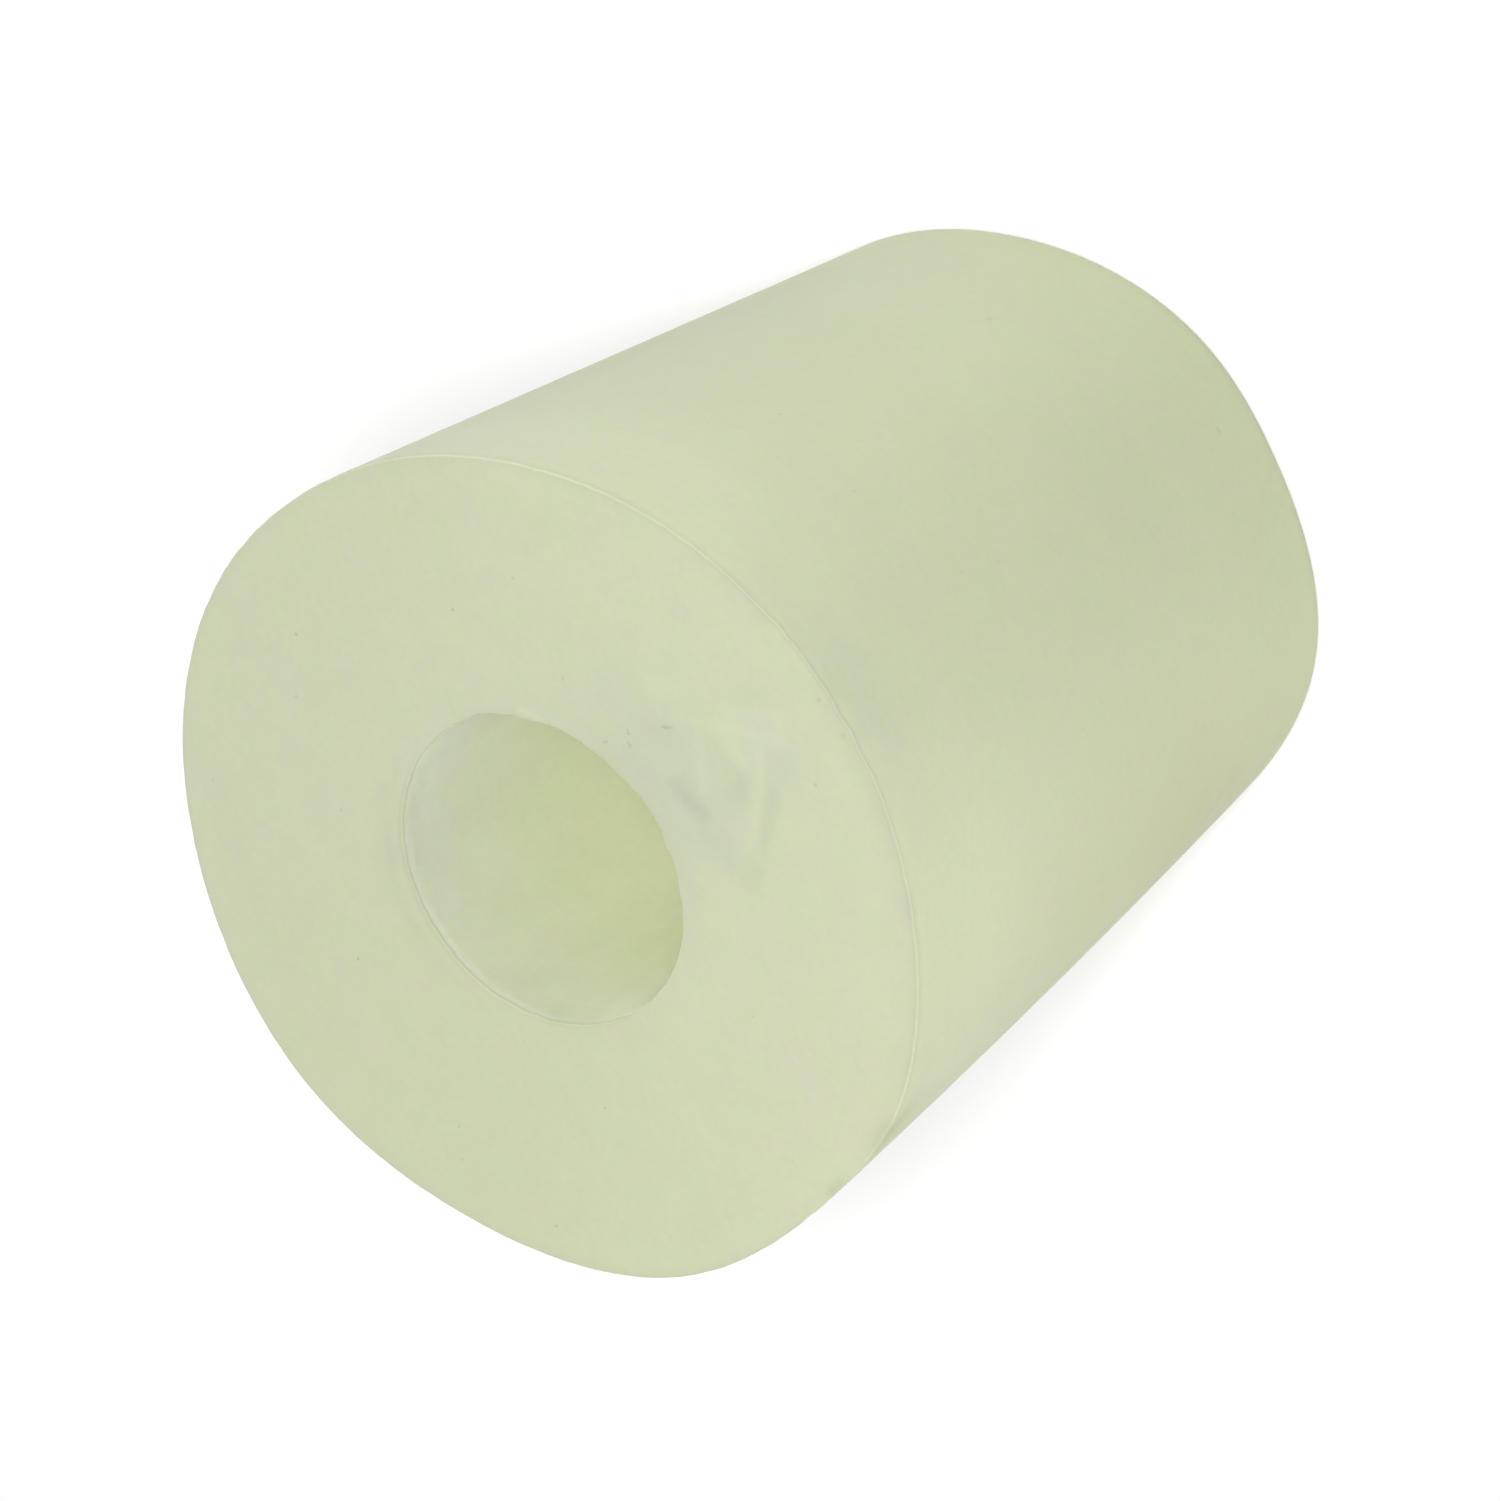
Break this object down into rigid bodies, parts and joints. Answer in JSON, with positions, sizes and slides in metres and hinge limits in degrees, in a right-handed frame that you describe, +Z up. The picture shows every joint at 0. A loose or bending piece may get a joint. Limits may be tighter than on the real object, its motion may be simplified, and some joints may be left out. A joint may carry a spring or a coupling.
{
  "type": "drilled stopper",
  "caption": "Tapered round silicone rubber stopper with flat ends and a straight hole drilled along its axis, to seal a neck around a tube.",
  "frame": {"origin": "centre of the narrow end face, on the axis, where the stopper stands on its narrow end", "axes": "+Z up along the axis, from the narrow end to the wide end; +X and +Y are free, because the stopper is round"},
  "size_m": [0.024, 0.024, 0.025],
  "materials": {
    "silicone": "matte"
  },
  "bodies": {
    "root": {"stopper": "silicone"}
  },
  "joints": []
}
